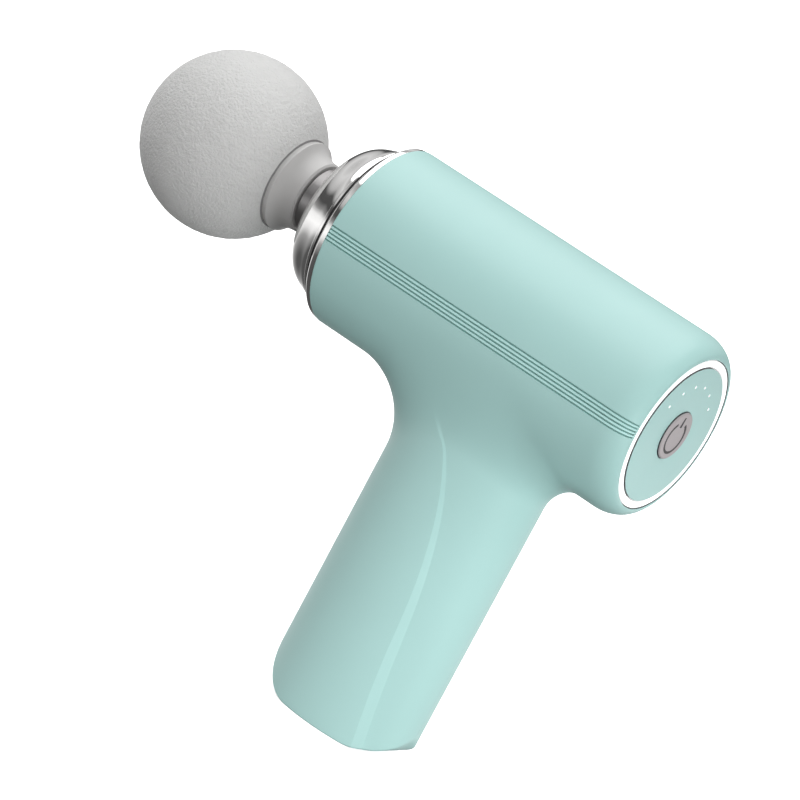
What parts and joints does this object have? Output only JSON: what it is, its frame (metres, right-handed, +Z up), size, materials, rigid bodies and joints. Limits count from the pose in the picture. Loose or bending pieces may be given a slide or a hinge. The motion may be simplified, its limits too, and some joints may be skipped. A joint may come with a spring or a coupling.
{
  "type": "massage gun",
  "caption": "Compact cordless massage gun: round barrel on an oval handle, bright nose dome, ball head on a reciprocating piston, lit rear ring around a push button.",
  "frame": {"origin": "middle of the flat base under the handle", "axes": "+X forward along the barrel to the ball, +Y to the user's left, +Z up along the handle"},
  "size_m": [0.1616, 0.048, 0.1273],
  "materials": {
    "shell": "fine satin, soft-touch painted",
    "chrome": "polished, plated",
    "black_rubber": "matte",
    "bronze": "sintered",
    "casting": "bead-blasted casting",
    "steel": "turned and plated",
    "magnet": "nickel-plated",
    "copper": "enamelled wire",
    "nickel": "stamped",
    "black_plastic": "moulded, fine texture",
    "white_plastic": "moulded",
    "light_window": "milky translucent",
    "circuit_board": "solder mask",
    "wire_black": "insulation",
    "wire_red": "insulation",
    "cell_sleeve": "shrink sleeve",
    "piston": "dark anodised, satin",
    "dark_plastic": "moulded",
    "head_collar": "moulded, satin",
    "head_ball": "fine leather-like grain",
    "button": "satin",
    "mark": "printed"
  },
  "bodies": {
    "housing": {"left_shell": "shell", "right_shell": "shell", "front_trim_ring": "chrome", "front_gasket": "black_rubber", "front_dome": "chrome", "shaft_seal": "black_rubber", "guide_bush": "bronze", "motor_frame": "casting", "front_screws": "steel", "frame_screws": "steel", "rear_carrier": "black_plastic", "rear_panel": "shell", "light_ring": "light_window", "indicator_lenses": "light_window", "control_board": "circuit_board", "board_screws": "steel", "ring_leds": "white_plastic", "indicator_leds": "white_plastic", "tact_switch": "black_plastic", "board_chips": "black_plastic", "board_connectors": "white_plastic", "rear_screws": "steel", "stator_core": "steel", "stator_windings": "copper", "motor_bearings": "steel", "phase_wires": "wire_black", "battery_wires": "wire_red", "front_cell": "cell_sleeve", "rear_cell": "cell_sleeve", "lower_cell_holder": "black_plastic", "upper_cell_holder": "black_plastic", "nickel_tabs": "nickel", "charge_socket": "nickel", "socket_tongue": "black_plastic", "charge_board": "circuit_board"},
    "rotor": {"rotor_bell": "steel", "rotor_magnets": "magnet", "motor_shaft": "steel", "crank_disc": "casting", "counterweight": "steel"},
    "piston": {"piston_sleeve": "piston", "wrist_pin": "steel", "socket_liner": "dark_plastic"},
    "connecting_rod": {"connecting_rod": "casting", "big_end_bearing": "steel", "small_end_bush": "bronze", "crank_pin": "steel"},
    "head": {"head_stem": "dark_plastic", "stem_o_ring": "black_rubber", "head_collar": "head_collar", "massage_ball": "head_ball"},
    "button": {"power_button": "button", "button_mark": "mark", "switch_plunger": "white_plastic"}
  },
  "joints": [
    {"name": "motor_spin", "type": "hinge", "parent": "housing", "child": "rotor", "pos_m": [-0.006, 0, 0.1033], "axis": [0, 1, 0], "continuous": true},
    {"name": "piston_stroke", "type": "slide", "parent": "housing", "child": "piston", "axis": [1, 0, 0], "range_m": [0, 0.006]},
    {"name": "rod_swing", "type": "hinge", "parent": "piston", "child": "connecting_rod", "pos_m": [0.015, 0, 0.1033], "axis": [0, 1, 0], "range_deg": [-7.2, 7.2]},
    {"name": "head_pull", "type": "slide", "parent": "piston", "child": "head", "axis": [1, 0, 0], "range_m": [0, 0.026]},
    {"name": "button_press", "type": "slide", "parent": "housing", "child": "button", "axis": [1, 0, 0], "range_m": [0, 0.0006], "stiffness_N_per_m": 2500, "springref_m": -0.0001}
  ]
}
